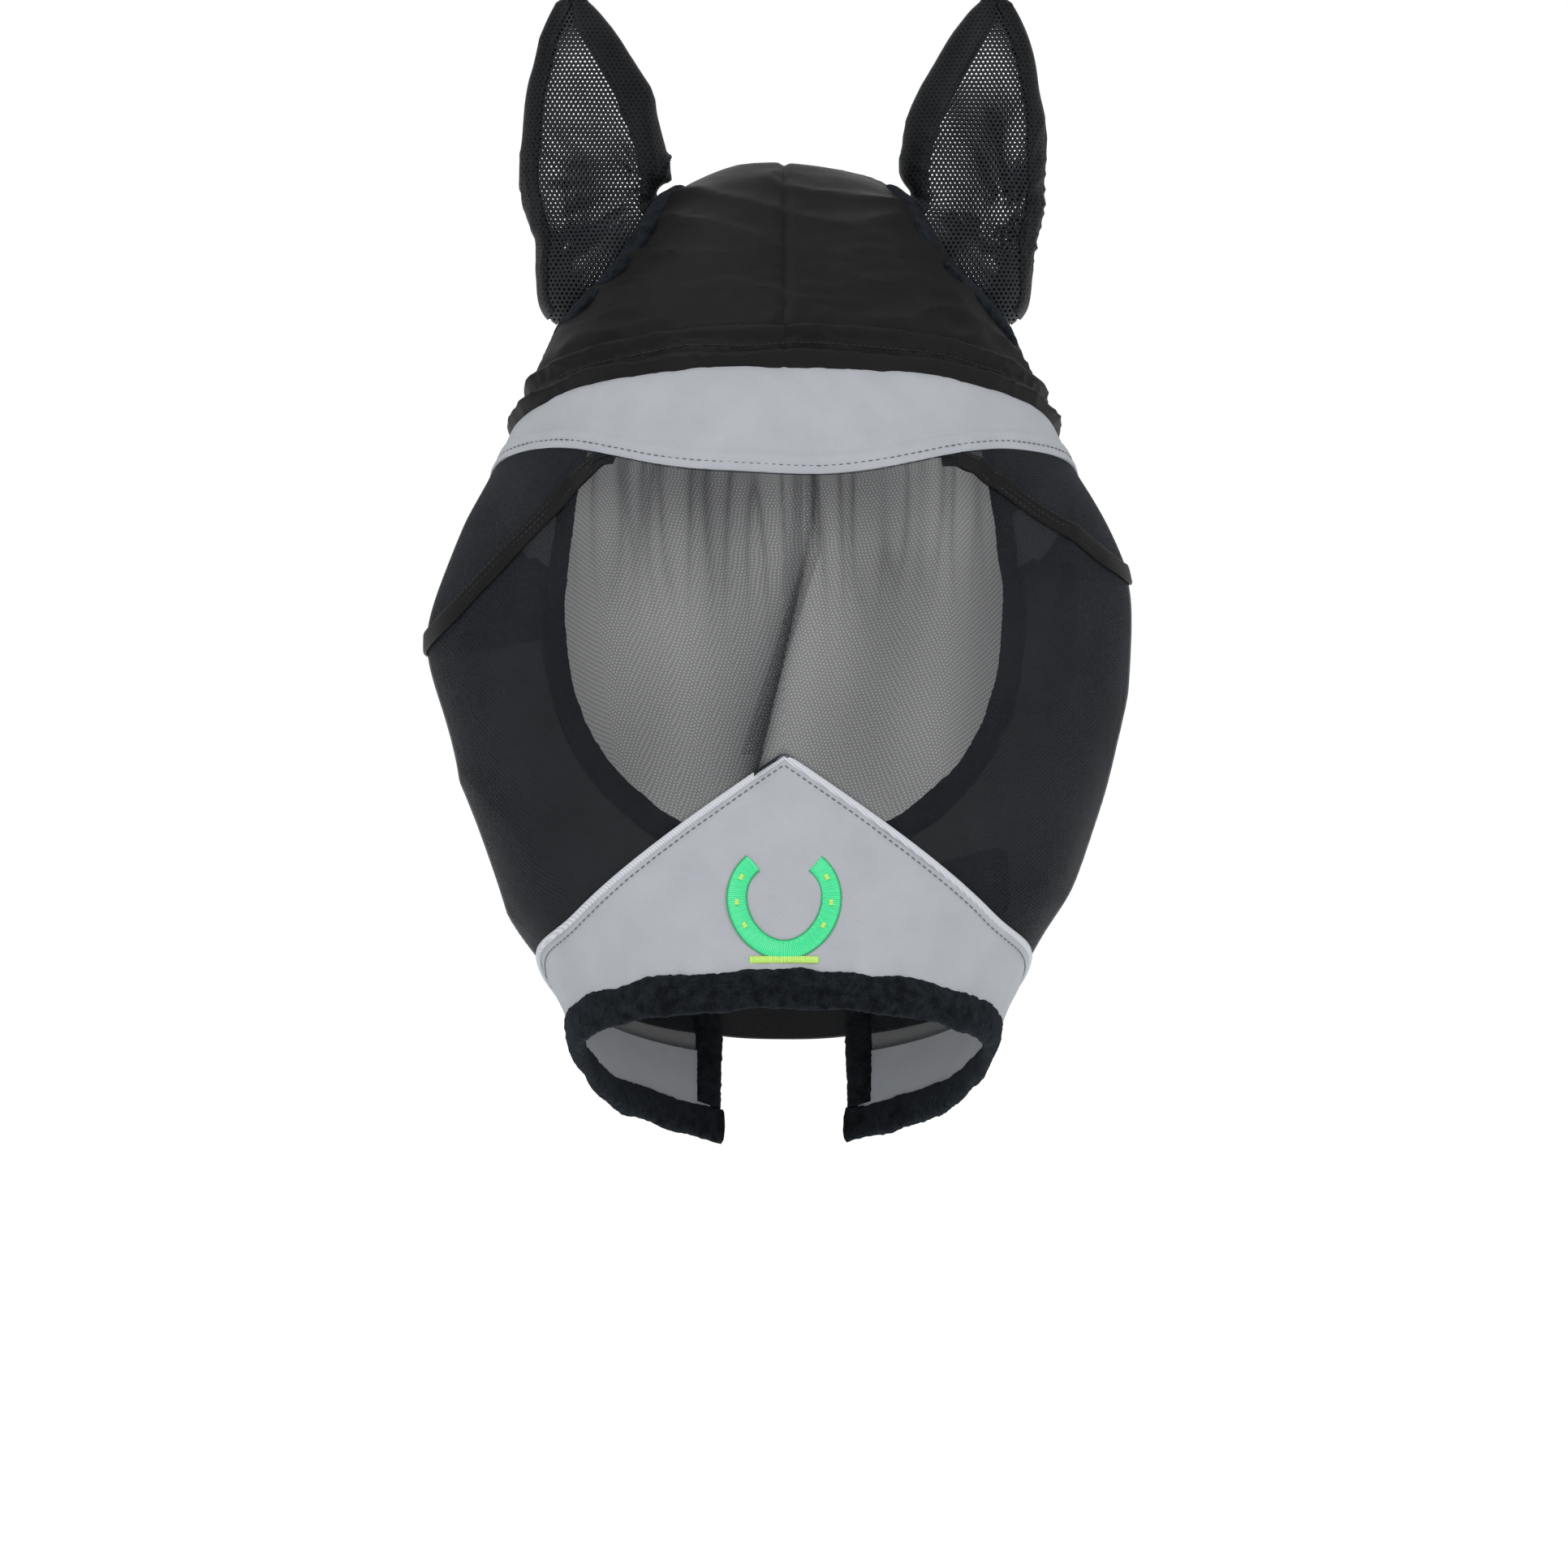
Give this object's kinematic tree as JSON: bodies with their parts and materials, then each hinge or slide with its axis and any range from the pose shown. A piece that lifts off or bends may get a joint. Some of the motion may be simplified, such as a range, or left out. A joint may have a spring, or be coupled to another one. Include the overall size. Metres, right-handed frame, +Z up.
{
  "type": "horse fly mask",
  "caption": "Sewn hood of fine mesh for a horse's head, with ear covers, a padded crown, a brow band, a chevron nose panel, fleece edges and hook-and-loop straps under the jaw.",
  "frame": {"origin": "the inside of the crown at the poll, the top of the horse's head", "axes": "+Z up, -Y towards the front of the face, +X to the horse's left. The face leans 20 degrees forward at the nose, as it is worn on a head held naturally."},
  "size_m": [0.2812, 0.2633, 0.4811],
  "materials": {
    "face_mesh": "woven sheer mesh",
    "ear_mesh": "perforated knitted mesh",
    "ear_border": "double knitted mesh",
    "fleece": "brushed fleece",
    "seam_tape": "woven tape",
    "crown_stretch_fabric": "smooth stretch knit",
    "grey_softshell": "smooth bonded knit",
    "piping": "folded knit",
    "binding_tape": "woven tape",
    "hook_tape": "hook tape",
    "loop_tape": "brushed loop tape",
    "strap_fabric": "smooth stretch knit",
    "embroidery": "satin stitch thread"
  },
  "bodies": {
    "hood": {"brow_band": "grey_softshell", "crown_left": "crown_stretch_fabric", "crown_right": "crown_stretch_fabric", "crown_roll_left": "crown_stretch_fabric", "crown_roll_right": "crown_stretch_fabric", "crown_seam_tape": "seam_tape", "dart_seam_left": "seam_tape", "dart_seam_right": "seam_tape", "ear_ring_left": "fleece", "ear_ring_right": "fleece", "emblem": "embroidery", "face_mesh_left": "face_mesh", "face_mesh_right": "face_mesh", "face_seam_tape": "seam_tape", "jaw_binding_left": "binding_tape", "jaw_binding_right": "binding_tape", "jaw_loop_pad": "loop_tape", "jaw_strap_tail": "strap_fabric", "neck_binding_left": "fleece", "neck_binding_right": "fleece", "nose_fleece": "fleece", "nose_panel": "grey_softshell", "nose_piping": "piping", "temple_mesh_left": "face_mesh", "temple_mesh_right": "face_mesh", "throat_loop_pad": "loop_tape", "throat_strap_tail": "strap_fabric"},
    "left_ear": {"ear_front_left": "ear_mesh", "ear_back_left": "ear_mesh", "ear_border_left": "ear_border"},
    "right_ear": {"ear_front_right": "ear_mesh", "ear_back_right": "ear_mesh", "ear_border_right": "ear_border"},
    "throat_closure": {"throat_strap": "strap_fabric", "throat_hook_tape": "hook_tape"},
    "jaw_closure": {"jaw_strap": "strap_fabric", "jaw_hook_tape": "hook_tape"}
  },
  "joints": [
    {"name": "left_ear_tilt", "type": "hinge", "parent": "hood", "child": "left_ear", "pos_m": [0.074, -0.0247, -0.024], "axis": [0.7071, 0.0493, -0.7054], "range_deg": [-15, 10], "stiffness_Nm_per_rad": 0.05},
    {"name": "right_ear_tilt", "type": "hinge", "parent": "hood", "child": "right_ear", "pos_m": [-0.074, -0.0247, -0.024], "axis": [0.7071, -0.0493, 0.7054], "range_deg": [-15, 10], "stiffness_Nm_per_rad": 0.05},
    {"name": "throat_strap_open", "type": "hinge", "parent": "hood", "child": "throat_closure", "pos_m": [-0.0413, 0.05377, -0.30051], "axis": [0, 0.5823, 0.8129], "range_deg": [0, 110]},
    {"name": "jaw_strap_open", "type": "hinge", "parent": "hood", "child": "jaw_closure", "pos_m": [-0.0413, 0.026, -0.33723], "axis": [0, 0.6237, 0.7816], "range_deg": [0, 110]}
  ]
}
